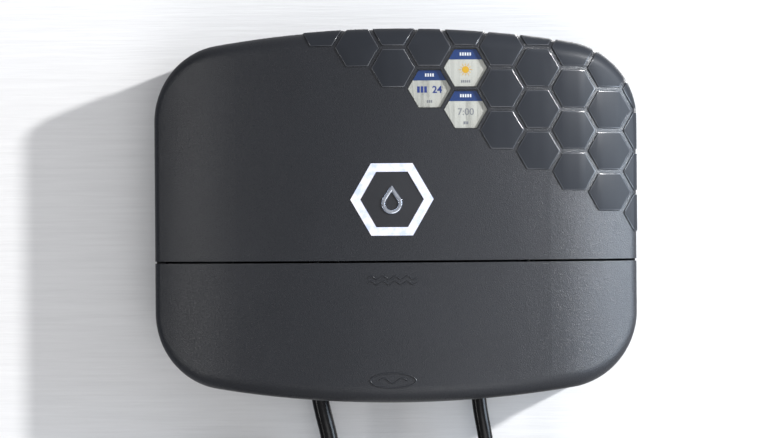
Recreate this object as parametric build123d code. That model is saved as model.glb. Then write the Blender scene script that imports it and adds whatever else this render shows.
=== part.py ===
from build123d import *
import math
import os

# Wall-mounted irrigation controller: a clamshell case with a hinged wiring door,
# a lit hexagonal push button, three hexagonal displays, and two cords.
# Millimetres. +X right seen from the front, +Z up, the front faces -Y.
# Origin: centre of the back face, which lies against the wall at y = 0.

os.makedirs("parts", exist_ok=True)

# ---- case outline, seen from the front ----
HALF_W = 132.0
HALF_H = 100.4
ARC_R = 660.0            # gentle crown of the top and bottom edges
CORNER_R = 41.5
DEPTH = 72.0             # wall to the crown of the face
# ---- case section, seen from above ----
FACE_R = 320.0           # middle of the face
FLANK_R = 120.0          # flanks of the face
BLEND_X = 85.0           # where the middle meets the flanks
EDGE_R = 9.0             # rounding between face and sides
COVER_WALL = 2.6
# ---- rear housing ----
HOUSING_DEPTH = 31.0
HOUSING_INSET = 0.8
HOUSING_WALL = 3.2
BACK_WALL = 3.0
RIM_WIDTH = 5.0
RIM_HEIGHT = 4.0
GASKET_PROUD = 0.4
COVER_RIM_Y = -HOUSING_DEPTH - GASKET_PROUD
DOOR_RIM_Y = -HOUSING_DEPTH - 0.7
# ---- seam between the upper cover and the wiring door ----
SEAM_Z = -24.5
SEAM_GAP = 1.2
LEDGE = 2.4
# ---- door hinge, along X under the front of the housing ----
HINGE_Y = -36.0
HINGE_Z = -98.0
KNUCKLE_R = 2.4
PIN_R = 1.0
RUNNING_GAP = 0.05
KNUCKLE_COUNT = 7
KNUCKLE_PITCH = 10.0
KNUCKLE_GAP = 0.3
DOOR_RELIEF_X = 62.0     # half width of the set-back part of the door's lower rim
DOOR_RELIEF_Y = -34.2
CATCH_X = 122.0          # sprung tongues beside the door's sides
CATCH_Z = (-44.0, -34.0)
# ---- hexagon field ----
CELL_X0 = 1.2            # column 0
CELL_Z0 = 101.6          # row 0 of the even columns
CELL_FLATS = 22.34       # pitch along Z, across the flats of a cell
CELL_PITCH_X = CELL_FLATS * math.sqrt(3) / 2
TILE_FLATS = 20.4
TILE_HEIGHT = 0.6
TILE_CELLS = {-2: [0], -1: [0], 0: [0, 1], 1: [0], 2: [0], 3: [0, 1, 2], 4: [0, 1, 2, 3],
              5: [0, 1, 2, 3], 6: [1, 2, 3, 4], 7: [1, 2, 3, 4]}
DISPLAY_CELLS = {"weather": (2, 1), "date": (1, 1), "time": (2, 2)}
DISPLAY_FLATS = 20.9
DISPLAY_FIT = 0.1
LENS_THICK = 1.8
# ---- lit ring and push button ----
RING_Z = 8.9
RING_OUTER = 38.6        # across flats
RING_INNER = 29.8
RING_BACK_Y = -66.4
BUTTON_FLATS = 29.2
RING_BOARD_Y = -58.6     # front of the ring's circuit board
BOARD_THICK = 1.6
RING_BOARD_FLATS = 59.0
# ---- main board ----
BOARD_X = (-112.0, 40.0)
BOARD_Z = (-16.0, 62.0)
BOARD_Y = -12.0
STATIONS = 8
# ---- terminals in the wiring bay ----
PANEL_X = 58.0
PANEL_Z = (-64.0, -30.0)
PANEL_Y = -18.0
TERMINAL_PITCH = 9.0
BLOCK_Y = (-20.5, -33.0)
BLOCK_Z = (-55.0, -40.0)
LEVER_Y = -34.8
LEVER_Z = -42.2
LEVER_BARREL_R = 1.5
LEVER_AXLE_R = 0.6
LEVER_LENGTH = 11.0
# ---- cords ----
CORD_Y = -18.0
POWER_X = 44.3
VALVE_X = -44.1
POWER_D = 8.2
VALVE_D = 9.4
SLEEVE_TOP = -80.0
GLAND_WALL = 2.8         # of the moulded body around the cord
GLAND_FLANGE = 1.8       # how far its flange reaches past the body
GLAND_PROUD = 1.2        # thickness of the flange under the housing


def block(x, y, z):
    """A box from pairs of limits."""
    size = (abs(x[1] - x[0]), abs(y[1] - y[0]), abs(z[1] - z[0]))
    return Pos((x[0] + x[1]) / 2, (y[0] + y[1]) / 2, (z[0] + z[1]) / 2) * Box(*size)


def rod(radius, start, end):
    """A cylinder between two points."""
    start = Vector(*start)
    run = Vector(*end) - start
    foot = (Align.CENTER, Align.CENTER, Align.MIN)
    return Plane(origin=start, z_dir=run) * Cylinder(radius, run.length, align=foot)


def front_prism(sketch, back, front):
    """A sketch seen from the front, made solid between two depths."""
    return extrude(Plane.XZ.offset(-back) * sketch, amount=back - front)


def hexagon(x, z, across_flats):
    """A flat-topped hexagon seen from the front."""
    return Pos(x, z) * RegularPolygon(across_flats / 2, 6, major_radius=False)


def ring_of(outer, inner):
    return outer - inner


def face_of(points_and_arcs):
    return make_face(Wire(points_and_arcs).edges())


def outline(inset):
    """The case seen from the front, moved inwards by an inset."""
    arc_centre = HALF_H - ARC_R
    corner_x = HALF_W - CORNER_R
    corner_z = arc_centre + math.sqrt((ARC_R - CORNER_R) ** 2 - corner_x ** 2)
    turn = math.atan2(corner_z - arc_centre, corner_x)
    arc_r = ARC_R - inset
    corner_r = CORNER_R - inset
    side = HALF_W - inset

    def on_arc(sx, sz):
        return (sx * arc_r * math.cos(turn), sz * (arc_centre + arc_r * math.sin(turn)))

    def on_corner(sx, sz):
        x = corner_x + corner_r * math.cos(turn / 2)
        z = corner_z + corner_r * math.sin(turn / 2)
        return (sx * x, sz * z)

    edges = []
    for sz in (1, -1):
        edges.append(ThreePointArc(on_arc(-1, sz), (0, sz * (HALF_H - inset)), on_arc(1, sz)))
        for sx in (1, -1):
            edges.append(ThreePointArc(on_arc(sx, sz), on_corner(sx, sz), (sx * side, sz * corner_z)))
    for sx in (1, -1):
        edges.append(Line((sx * side, corner_z), (sx * side, -corner_z)))
    return face_of(edges)


def face_curve(inset):
    """The case seen from above, from its curved face back past the wall."""
    centre_y = FACE_R - DEPTH
    turn = math.asin(BLEND_X / FACE_R)
    reach = math.radians(50)
    face_r = FACE_R - inset
    flank_r = FLANK_R - inset
    flank_x = (FACE_R - FLANK_R) * math.sin(turn)
    flank_y = centre_y - (FACE_R - FLANK_R) * math.cos(turn)

    def on_flank(side, angle):
        return (side * (flank_x + flank_r * math.sin(angle)), flank_y - flank_r * math.cos(angle))

    meet = [(side * face_r * math.sin(turn), centre_y - face_r * math.cos(turn)) for side in (-1, 1)]
    edges = [ThreePointArc(meet[0], (0, centre_y - face_r), meet[1])]
    for side, start in zip((-1, 1), meet):
        edges.append(ThreePointArc(start, on_flank(side, (turn + reach) / 2), on_flank(side, reach)))
        tip = on_flank(side, reach)
        edges.append(Line(tip, (tip[0], 10)))
    edges.append(Line((on_flank(-1, reach)[0], 10), (on_flank(1, reach)[0], 10)))
    return face_of(edges)


FORMS = {}


def case_form(inset):
    """The rounded body of the case from the wall to its face, moved inwards by an inset."""
    if inset not in FORMS:
        sides = front_prism(outline(inset), 0, -DEPTH - 10)
        face = extrude(face_curve(inset), amount=HALF_H + 20, both=True)
        solid = (sides & face).solids()[0]
        rim = []
        for edge in solid.edges():
            box = edge.bounding_box()
            runs_down_the_face = box.size.X < 0.01 and abs(box.center().X) < BLEND_X + 5
            if box.max.Y < -1 and not runs_down_the_face:
                rim.append(edge)
        FORMS[inset] = fillet(rim, EDGE_R - inset).solids()[0] if inset < EDGE_R else solid
    return FORMS[inset]


def in_front_of(y):
    return block((-200, 200), (y, -120), (-200, 200))


def above(z):
    return block((-200, 200), (-120, 20), (z, 200))


def below(z):
    return block((-200, 200), (-120, 20), (z, -200))


def cell_centre(column, row):
    """Centre of a cell of the hexagon field, seen from the front."""
    shift = CELL_FLATS / 2 if column % 2 else 0
    return (CELL_X0 + column * CELL_PITCH_X, CELL_Z0 - shift - row * CELL_FLATS)


def drop(height, radius):
    """A water drop seen from the front, its point up, centred on its height."""
    centre = -height / 2 + radius
    tip = height / 2
    lean = math.acos(radius / (tip - centre))
    touch = (radius * math.sin(lean), centre + radius * math.cos(lean))
    left = (-touch[0], touch[1])
    return face_of([Line((0, tip), touch), ThreePointArc(touch, (0, -height / 2), left), Line(left, (0, tip))])


def tube(points, diameter, share=0.45):
    """A cord along straight runs joined by arcs as large as the runs allow."""
    path = [Vector(*p) for p in points]
    radii = []
    for before, here, after in zip(path, path[1:], path[2:]):
        shorter = min((here - before).length, (after - here).length)
        turn = math.radians((here - before).get_angle(after - here))
        radii.append(share * shorter / math.tan(turn / 2))
    line = FilletPolyline(*path, radius=radii)
    start = Plane(origin=path[0], z_dir=path[1] - path[0])
    solid = sweep(start * Circle(diameter / 2), path=line)
    expected = math.pi * diameter ** 2 / 4 * line.length
    print("tube", round(line.length, 1), "mm, smallest arc", round(min(radii), 1),
          "largest", round(max(radii), 1), "volume ratio", round(solid.volume / expected, 4))
    return solid


def screw(x, y_head, z, radius, length, head_r, head_h, toward_wall=True):
    """A pan-head screw along Y with a cross recess; its head's underside is at y_head."""
    way = 1 if toward_wall else -1
    shank = rod(radius, (x, y_head, z), (x, y_head + way * length, z))
    head = rod(head_r, (x, y_head, z), (x, y_head - way * head_h, z))
    top = y_head - way * head_h
    deep = top + way * head_h * 0.6
    slot = head_r * 0.6
    cross = block((x - slot, x + slot), (top, deep), (z - 0.25, z + 0.25))
    cross += block((x - 0.25, x + 0.25), (top, deep), (z - slot, z + slot))
    return shank + head - cross


PARTS = {}


def keep(name, shape):
    PARTS[name] = shape


def group(solids):
    return Compound(children=list(solids))


# ---------------------------------------------------------------- places shared by several pieces
MAIN_BOARD_HOLES = [(x, z) for x in (BOARD_X[0] + 5, BOARD_X[1] - 5) for z in (BOARD_Z[0] + 5, BOARD_Z[1] - 5)]
PANEL_HOLES = [(x, z) for x in (-PANEL_X + 5, PANEL_X - 5) for z in (PANEL_Z[0] + 5, PANEL_Z[1] - 5)]
RING_HOLES = [(27 * math.cos(math.radians(a)), RING_Z + 27 * math.sin(math.radians(a))) for a in (90, 210, 330)]
DISPLAY_HOLES = [(8.0, 88.0), (58.0, 68.0), (14.0, 50.0)]
COVER_SCREW_X = 96.0
COVER_SCREW_Z = -35.0
FIXING_X = 104.0
FIXING_Z = -62.0
FIXING_R = 2.3
CONDUIT_R = 11.0
CAP_THICK = 1.0
TRANSFORMER_X = 84.0
TRANSFORMER_Z = 6.0
BRACKET_HOLES = [(54.0, 19.5), (114.0, 19.5)]


def knuckle_spans(own):
    """X limits of the hinge knuckles: even ones on the housing, odd ones on the door."""
    first = -KNUCKLE_COUNT * KNUCKLE_PITCH / 2
    spans = []
    for i in range(KNUCKLE_COUNT):
        if i % 2 == own:
            spans.append((first + i * KNUCKLE_PITCH, first + (i + 1) * KNUCKLE_PITCH))
    return spans


def gland_hole(x, radius):
    return rod(radius, (x, CORD_Y, -85), (x, CORD_Y, -110))


# ---------------------------------------------------------------- case
def rear_housing():
    floor_of = HOUSING_INSET + HOUSING_WALL
    shape = front_prism(outline(HOUSING_INSET), 0, -HOUSING_DEPTH)
    shape -= front_prism(outline(floor_of), -BACK_WALL, -HOUSING_DEPTH - 1)
    rim = ring_of(outline(HOUSING_INSET + 1), outline(HOUSING_INSET + RIM_WIDTH))
    shape += front_prism(rim, -HOUSING_DEPTH + RIM_HEIGHT, -HOUSING_DEPTH)
    shelf = block((-129, 129), (-1, -HOUSING_DEPTH), (SEAM_Z + 0.6, SEAM_Z + 3))
    shape += shelf & front_prism(outline(2), 0, -HOUSING_DEPTH)
    shape -= block((-56, -24), (-BACK_WALL, -40), (SEAM_Z - 5, SEAM_Z + 8))
    shape -= block((62, 80), (-BACK_WALL, -40), (SEAM_Z - 5, SEAM_Z + 8))
    for x, z in MAIN_BOARD_HOLES:
        shape += rod(3.4, (x, -1, z), (x, BOARD_Y, z))
    for x, z in PANEL_HOLES:
        shape += rod(3.4, (x, -1, z), (x, PANEL_Y, z))
    for side in (-1, 1):
        x = side * COVER_SCREW_X
        shape += rod(4.2, (x, -1, COVER_SCREW_Z), (x, -HOUSING_DEPTH, COVER_SCREW_Z))
        x = side * FIXING_X
        shape += rod(7, (x, -1, FIXING_Z), (x, -8, FIXING_Z))
        shape -= rod(FIXING_R, (x, 1, FIXING_Z), (x, -9, FIXING_Z))
    for x, z in BRACKET_HOLES:
        shape += rod(4.2, (x, -1, z), (x, -6, z))
    for x0, x1 in knuckle_spans(0):
        arm = block((x0, x1), (-HOUSING_DEPTH + 1, HINGE_Y), (HINGE_Z - KNUCKLE_R, HINGE_Z + KNUCKLE_R))
        shape += arm + rod(KNUCKLE_R, (x0, HINGE_Y, HINGE_Z), (x1, HINGE_Y, HINGE_Z))
    for side in (-1, 1):
        x = side * CATCH_X
        tongue = block((x - side * 2.5, x), (-HOUSING_DEPTH + 3, -38.5), CATCH_Z)
        root = block((x - side * 2.5, side * 130), (-HOUSING_DEPTH + 3, -HOUSING_DEPTH), CATCH_Z)
        nose = rod(0.8, (x, -37, CATCH_Z[0]), (x, -37, CATCH_Z[1]))
        shape += tongue + root + nose
    groove = ring_of(outline(2.6), outline(4.2))
    shape -= front_prism(groove, -HOUSING_DEPTH + 1.4, -HOUSING_DEPTH - 0.5)
    shape -= rod(PIN_R, (-50, HINGE_Y, HINGE_Z), (50, HINGE_Y, HINGE_Z))
    for x, z in MAIN_BOARD_HOLES:
        shape -= rod(1.25, (x, BOARD_Y - 1, z), (x, -3, z))
    for x, z in PANEL_HOLES:
        shape -= rod(1.25, (x, PANEL_Y - 1, z), (x, -9, z))
    for x, z in BRACKET_HOLES:
        shape -= rod(1.5, (x, -7, z), (x, -1, z))
    for side in (-1, 1):
        x = side * COVER_SCREW_X
        shape -= rod(1.5, (x, -HOUSING_DEPTH - 1, COVER_SCREW_Z), (x, -16, COVER_SCREW_Z))
    keyhole = Pos(0, 80) * Circle(4.6) + Pos(0, 84.5) * Rectangle(4.8, 9) + Pos(0, 89) * Circle(2.4)
    shape -= front_prism(keyhole, 1, -BACK_WALL - 1)
    shape -= gland_hole(POWER_X, 7.0)
    shape -= gland_hole(VALVE_X, 7.6)
    shape -= rod(CONDUIT_R, (0, -17, -85), (0, -17, -110))
    return shape


def split_shell(form_in, form_out, rim_y, cut):
    shell = case_form(form_out) - case_form(form_in)
    return (shell & in_front_of(rim_y)) & cut


def upper_cover():
    low = SEAM_Z + SEAM_GAP / 2
    shape = split_shell(COVER_WALL, 0, COVER_RIM_Y, above(low))
    ledge = case_form(1.5) & block((-140, 140), (COVER_RIM_Y, -100), (low, low + LEDGE))
    shape += ledge
    for side in (-1, 1):
        x = side * COVER_SCREW_X
        shape += block((x - 7, x + 7), (COVER_RIM_Y, COVER_RIM_Y - 2.5), (COVER_SCREW_Z - 6, low + 1))
    posts = [(x, z, RING_BOARD_Y) for x, z in RING_HOLES]
    posts += [(x, z, -59.6) for x, z in DISPLAY_HOLES]
    inner = case_form(1.2)
    for x, z, y in posts:
        shape += rod(2.5, (x, y, z), (x, -80, z)) & inner
    for side in (-1, 1):
        x = side * COVER_SCREW_X
        shape -= rod(1.9, (x, -28, COVER_SCREW_Z), (x, -36, COVER_SCREW_Z))
    for x, z, y in posts:
        shape -= rod(1.0, (x, y + 1, z), (x, y - 6, z))
    shape -= front_prism(hexagon(0, RING_Z, RING_OUTER + 0.2), -60, -80)
    for cell in DISPLAY_CELLS.values():
        shape -= front_prism(hexagon(*cell_centre(*cell), DISPLAY_FLATS + 2 * DISPLAY_FIT), -60, -80)
    return shape


def wiring_door():
    high = SEAM_Z - SEAM_GAP / 2
    shape = split_shell(COVER_WALL, 0, DOOR_RIM_Y, below(high))
    lip = case_form(1.5) & block((-140, 140), (DOOR_RIM_Y, -100), (high, high - 2.2))
    lip -= case_form(11) & above(high - 10)
    lip -= block((-122, 122), (-20, -46), (high + 1, high - 10))
    shape += lip
    shape -= block((-DOOR_RELIEF_X, DOOR_RELIEF_X), (-20, DOOR_RELIEF_Y), (-110, -88))
    for x0, x1 in knuckle_spans(0):
        shape -= block((x0 - KNUCKLE_GAP, x1 + KNUCKLE_GAP), (-20, HINGE_Y - 5), (-110, -90))
    for side in (-1, 1):
        rib = block((side * (CATCH_X + 1.2), side * (CATCH_X + 3.2)), (-35, -60), CATCH_Z)
        shape += rib & case_form(1.5)
    for x0, x1 in [(x0 + KNUCKLE_GAP, x1 - KNUCKLE_GAP) for x0, x1 in knuckle_spans(1)]:
        wall = block((x0, x1), (HINGE_Y, HINGE_Y - 5.5), (-HALF_H + 0.3, -HALF_H + KNUCKLE_R + 0.4))
        shape += rod(KNUCKLE_R, (x0, HINGE_Y, HINGE_Z), (x1, HINGE_Y, HINGE_Z)) + wall
    shape -= rod(PIN_R + RUNNING_GAP, (-60, HINGE_Y, HINGE_Z), (60, HINGE_Y, HINGE_Z))
    return shape


def tile_relief():
    skin = case_form(-TILE_HEIGHT) - case_form(0)
    skin = skin & in_front_of(COVER_RIM_Y)
    tiles = []
    for column, rows in TILE_CELLS.items():
        for row in rows:
            x, z = cell_centre(column, row)
            tile = skin & front_prism(hexagon(x, z, TILE_FLATS), -20, -90)
            tiles += [s for s in tile.solids() if s.volume > 2]
    return group(tiles)


# ---------------------------------------------------------------- hinge, seal and fixings
def hinge_pin():
    half = KNUCKLE_COUNT * KNUCKLE_PITCH / 2
    return rod(PIN_R, (-half, HINGE_Y, HINGE_Z), (half, HINGE_Y, HINGE_Z))


def rim_gasket():
    strip = ring_of(outline(2.7), outline(4.1))
    return front_prism(strip, -HOUSING_DEPTH + 1.4, -HOUSING_DEPTH - GASKET_PROUD)


def housing_screws():
    screws = [screw(side * COVER_SCREW_X, COVER_RIM_Y - 2.5, COVER_SCREW_Z, 1.5, 14, 3.2, 2) for side in (-1, 1)]
    screws += [screw(x, -7.2, z, 1.5, 5.5, 3.2, 2) for x, z in BRACKET_HOLES]
    return group(screws)


def board_screws():
    screws = [screw(x, BOARD_Y - BOARD_THICK, z, 1.25, 8, 2.5, 1.6) for x, z in MAIN_BOARD_HOLES]
    screws += [screw(x, PANEL_Y - 2.5, z, 1.25, 8, 2.5, 1.6) for x, z in PANEL_HOLES]
    back = RING_BOARD_Y + BOARD_THICK
    screws += [screw(x, back, z, 1.0, 7, 2.1, 1.4, False) for x, z in RING_HOLES]
    screws += [screw(x, -58, z, 1.0, 7, 2.1, 1.4, False) for x, z in DISPLAY_HOLES]
    return group(screws)


def conduit_plug():
    top = -HALF_H + HOUSING_INSET
    shape = rod(CONDUIT_R - 0.1, (0, -17, top + 12), (0, -17, top))
    shape -= rod(CONDUIT_R - 2, (0, -17, top + 13), (0, -17, top + 1.5))
    shape += rod(CONDUIT_R + 1.6, (0, -17, top), (0, -17, top - CAP_THICK))
    nut = Pos(0, -17, top + 5.4) * extrude(RegularPolygon(12.6, 6, major_radius=False), amount=4)
    nut -= rod(CONDUIT_R - 1, (0, -17, top + 4), (0, -17, top + 12))
    return shape + nut


# ---------------------------------------------------------------- displays
def display_lenses():
    glass = case_form(0.05) - case_form(LENS_THICK)
    cells = [cell_centre(*cell) for cell in DISPLAY_CELLS.values()]
    return group([(glass & front_prism(hexagon(x, z, DISPLAY_FLATS), -50, -90)).solids()[0] for x, z in cells])


def display_panel(cell):
    x, z = cell_centre(*cell)
    sheet = case_form(LENS_THICK) - case_form(LENS_THICK + 0.8)
    return (sheet & front_prism(hexagon(x, z, DISPLAY_FLATS - 0.2), -50, -90)).solids()[0]


def display_frame():
    outer = None
    for cell in DISPLAY_CELLS.values():
        x, z = cell_centre(*cell)
        tube_outside = front_prism(hexagon(x, z, DISPLAY_FLATS + 2.6), -59.6, -90)
        outer = tube_outside if outer is None else outer + tube_outside
    shape = outer & case_form(COVER_WALL + 0.1)
    for cell in DISPLAY_CELLS.values():
        x, z = cell_centre(*cell)
        shape -= front_prism(hexagon(x, z, DISPLAY_FLATS - 0.6), -50, -90)
    return shape


def display_board():
    shape = block((2, 63), (-58, -59.6), (44, 93.5))
    for x, z in DISPLAY_HOLES:
        shape -= rod(1.1, (x, -50, z), (x, -70, z))
    return shape


# ---------------------------------------------------------------- lit ring and button
def light_ring():
    band = ring_of(hexagon(0, RING_Z, RING_OUTER), hexagon(0, RING_Z, RING_INNER))
    shape = front_prism(band, RING_BACK_Y, -90) & case_form(-0.2)
    flange = ring_of(hexagon(0, RING_Z, RING_OUTER + 3), hexagon(0, RING_Z, RING_INNER))
    return shape + (front_prism(flange, RING_BACK_Y, -90) & case_form(COVER_WALL + 0.1))


def ring_board():
    shape = front_prism(hexagon(0, RING_Z, RING_BOARD_FLATS), RING_BOARD_Y + BOARD_THICK, RING_BOARD_Y)
    for x, z in RING_HOLES:
        shape -= rod(1.1, (x, -50, z), (x, -70, z))
    return shape


def ring_leds():
    radius = (RING_OUTER + RING_INNER) / 4
    leds = []
    for side in range(6):
        angle = math.radians(30 + 60 * side)
        for offset in (-5.5, 5.5):
            x = radius * math.cos(angle) - offset * math.sin(angle)
            z = RING_Z + radius * math.sin(angle) + offset * math.cos(angle)
            leds.append(block((x - 1.5, x + 1.5), (RING_BOARD_Y, RING_BOARD_Y - 1.3), (z - 1.5, z + 1.5)))
    return group(leds)


def hex_button():
    cap = front_prism(hexagon(0, RING_Z, BUTTON_FLATS), -66, -90) & case_form(0.3)
    flange = front_prism(hexagon(0, RING_Z, RING_INNER + 4), -65, RING_BACK_Y + 0.2)
    stem = rod(3, (0, -61, RING_Z), (0, -66, RING_Z))
    return cap + flange + stem


def button_emblem():
    glyph = Pos(0, RING_Z) * ring_of(drop(15.6, 5.6), Pos(0, -0.8) * drop(10.0, 3.5))
    return (front_prism(glyph, -60, -90) & case_form(-0.35)) - case_form(0.3)


def button_switch():
    body = block((-3.1, 3.1), (RING_BOARD_Y, RING_BOARD_Y - 1), (RING_Z - 3.1, RING_Z + 3.1))
    return body + rod(1.7, (0, RING_BOARD_Y, RING_Z), (0, RING_BOARD_Y - 1.5, RING_Z))


# ---------------------------------------------------------------- main board and transformer
def main_board():
    shape = block(BOARD_X, (BOARD_Y, BOARD_Y - BOARD_THICK), BOARD_Z)
    for x, z in MAIN_BOARD_HOLES:
        shape -= rod(1.35, (x, 0, z), (x, -20, z))
    return shape


def on_board(x, z, height, rise=0.0):
    """A block standing on the main board, from pairs of x and z limits."""
    foot = BOARD_Y - BOARD_THICK - rise
    return block(x, (foot, foot - height), z)


def station_triacs():
    triacs = []
    for i in range(STATIONS):
        x = -98 + 11.5 * i
        body = on_board((x - 4.9, x + 4.9), (-10.2, -5.8), 9, 3)
        tab = on_board((x - 4.9, x + 4.9), (-7.1, -5.8), 6, 12) - rod(1.8, (x, -29, -4), (x, -29, -12))
        legs = [on_board((x + s - 0.4, x + s + 0.4), (-8.2, -7.6), 3) for s in (-2.5, 0, 2.5)]
        triacs.append(body + tab + legs[0] + legs[1] + legs[2])
    return group(triacs)


def filter_capacitors():
    cans = []
    for x in (-99, -83, -67):
        foot = BOARD_Y - BOARD_THICK
        can = rod(6, (x, foot, 44), (x, foot - 18, 44))
        can = fillet(can.edges().filter_by(GeomType.CIRCLE), 0.8)
        vent = block((x - 4, x + 4), (foot - 17.6, foot - 19), (43.8, 44.2))
        vent += block((x - 0.2, x + 0.2), (foot - 17.6, foot - 19), (40, 48))
        cans.append(can - vent)
    return group(cans)


def surge_varistors():
    discs = []
    for x in (-50, -36):
        disc = rod(5.5, (x, -23, 48.2), (x, -23, 51.8))
        disc = fillet(disc.edges().filter_by(GeomType.CIRCLE), 1.4)
        for side in (-2.5, 2.5):
            disc += rod(0.4, (x + side, BOARD_Y - BOARD_THICK, 50), (x + side, -20, 50))
        discs.append(disc)
    return group(discs)


def glass_fuse():
    return rod(2.6, (12, -18.6, 10), (32, -18.6, 10))


def fuse_clips():
    clips = []
    for x in (13.5, 30.5):
        clip = on_board((x - 2, x + 2), (6, 14), 6.6) - rod(2.6, (x - 3, -18.6, 10), (x + 3, -18.6, 10))
        clips.append(clip - on_board((x - 3, x + 3), (8.4, 11.6), 4, 4.5))
    return group(clips)


def processor_chip():
    body = on_board((-66, -52), (12, 26), 1.2, 0.3)
    body = chamfer(body.edges().filter_by(Axis.Y), 0.4)
    for i in range(10):
        step = -5.4 + 1.2 * i
        body += on_board((-59 + step - 0.2, -59 + step + 0.2), (10.8, 27.2), 0.5)
        body += on_board((-67.2, -50.8), (19 + step - 0.2, 19 + step + 0.2), 0.5)
    return body


def wireless_module():
    base = on_board((-22, -4), (33, 59), 0.8)
    can = on_board((-21, -5), (34, 51), 2.4, 0.8)
    return base + fillet(can.edges().filter_by(Axis.Y), 1)


def transformer_core():
    x, z = TRANSFORMER_X, TRANSFORMER_Z
    shape = block((x - 24, x + 24), (-11, -29), (z - 20, z + 20))
    for side in (-1, 1):
        shape -= block((x + side * 8, x + side * 16), (-5, -40), (z - 12, z + 12))
    return shape


def transformer_coil():
    x, z = TRANSFORMER_X, TRANSFORMER_Z
    shape = block((x - 15.5, x + 15.5), (-4.6, -35.4), (z - 11.6, z + 11.6))
    shape = fillet(shape.edges().filter_by(Axis.Z), 3)
    for end in (-11.6, 10.4):
        shape += block((x - 15.8, x + 15.8), (-4.2, -35.8), (z + end, z + end + 1.2))
    return shape - block((x - 8.1, x + 8.1), (-10.9, -29.1), (z - 13, z + 13))


def transformer_bracket():
    x, z = TRANSFORMER_X, TRANSFORMER_Z
    low, high = z + 12.8, z + 19.4
    shape = block((x - 25.3, x + 25.3), (-6, -30.2), (low, high))
    shape -= block((x - 24.1, x + 24.1), (-5, -29.1), (low - 1, high + 1))
    for hole_x, hole_z in BRACKET_HOLES:
        inner = x - 24.1 if hole_x < x else x + 24.1
        outer = hole_x - 4.6 if hole_x < x else hole_x + 4.6
        foot = block((outer, inner), (-6, -7.2), (low, high))
        shape += foot - rod(1.6, (hole_x, -1, hole_z), (hole_x, -9, hole_z))
    return shape


# ---------------------------------------------------------------- wiring bay
def terminal_panel():
    shape = block((-PANEL_X, PANEL_X), (PANEL_Y, PANEL_Y - 2.5), PANEL_Z)
    shape = fillet(shape.edges().filter_by(Axis.Y), 3)
    for x, z in PANEL_HOLES:
        shape -= rod(1.35, (x, 0, z), (x, -30, z))
    return shape


def terminal_x(i):
    return (i - (STATIONS - 1) / 2) * TERMINAL_PITCH


def terminal_block():
    half = STATIONS * TERMINAL_PITCH / 2
    shape = block((-half - 1, half + 1), BLOCK_Y, BLOCK_Z)
    for i in range(STATIONS + 1):
        x = (i - STATIONS / 2) * TERMINAL_PITCH
        shape += block((x - 0.9, x + 0.9), (BLOCK_Y[1] + 1, BLOCK_Y[1] - 4), BLOCK_Z)
    for i in range(STATIONS):
        shape -= rod(1.5, (terminal_x(i), -27, BLOCK_Z[0] - 1), (terminal_x(i), -27, BLOCK_Z[0] + 9))
        shape -= block((terminal_x(i) - 1, terminal_x(i) + 1), (-22, -24), (BLOCK_Z[0] - 1, BLOCK_Z[0] + 4))
    shape -= rod(LEVER_AXLE_R, (-half - 2, LEVER_Y, LEVER_Z), (half + 2, LEVER_Y, LEVER_Z))
    return shape


def lever_axle():
    half = STATIONS * TERMINAL_PITCH / 2
    return rod(LEVER_AXLE_R, (-half - 0.9, LEVER_Y, LEVER_Z), (half + 0.9, LEVER_Y, LEVER_Z))


def terminal_lever(i):
    half = TERMINAL_PITCH / 2 - 1.2
    x = terminal_x(i)
    barrel = rod(LEVER_BARREL_R, (x - half, LEVER_Y, LEVER_Z), (x + half, LEVER_Y, LEVER_Z))
    tip = LEVER_Z - LEVER_LENGTH
    plate = block((x - half, x + half), (LEVER_Y - 1.5, LEVER_Y + 0.3), (tip, LEVER_Z))
    grip = block((x - half, x + half), (LEVER_Y - 2.6, LEVER_Y - 1), (tip, tip + 1.6))
    plate += fillet(grip.edges().filter_by(Axis.X), 0.5)
    return barrel + plate - rod(LEVER_AXLE_R + RUNNING_GAP, (x - 9, LEVER_Y, LEVER_Z), (x + 9, LEVER_Y, LEVER_Z))


def wire(points, diameter=1.9, bend=3.5):
    path = [Vector(*p) for p in points]
    line = FilletPolyline(*path, radius=bend)
    start = Plane(origin=path[0], z_dir=path[1] - path[0])
    return sweep(start * Circle(diameter / 2), path=line)


def station_wires():
    wires = []
    for i in range(5):
        angle = math.radians(180 - 36 * i)
        x = VALVE_X + 2.9 * math.cos(angle)
        y = CORD_Y - 1.2 * math.sin(angle)
        level = -67 - 2.2 * i
        end = terminal_x(i + 1)
        route = [(x, y, SLEEVE_TOP + 0.4), (x, y, level - 1.5), (x + 4, y - 5, level)]
        route += [(end, -27, level), (end, -27, BLOCK_Z[0] + 5)]
        wires.append(wire(route, bend=[2.2, 2.2, 3.0]))
    return group(wires)


def mains_wires():
    wires = []
    for i, offset in enumerate((-2, 2)):
        x = POWER_X + offset
        out = 68 + 5 * i
        route = [(x, CORD_Y, SLEEVE_TOP + 0.4), (x, CORD_Y, -71 - 4 * i), (out, -27, -58 - 5 * i)]
        route += [(out, -27, -19), (out + 4, -32.6, -12), (out + 4, -32.6, TRANSFORMER_Z - 12)]
        wires.append(wire(route, bend=[4, 4, 3, 3]))
    return group(wires)


def ribbon(x0, x1, path):
    """A flat ribbon of wires, bent along a path given as (y, z)."""
    line = FilletPolyline(*[Vector(0, y, z) for y, z in path], radius=3)
    start = Plane(origin=line @ 0, z_dir=line % 0, x_dir=(1, 0, 0))
    strip = sweep(start * Rectangle(x1 - x0, 0.9), path=line)
    return Pos((x0 + x1) / 2, 0, 0) * strip


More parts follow.
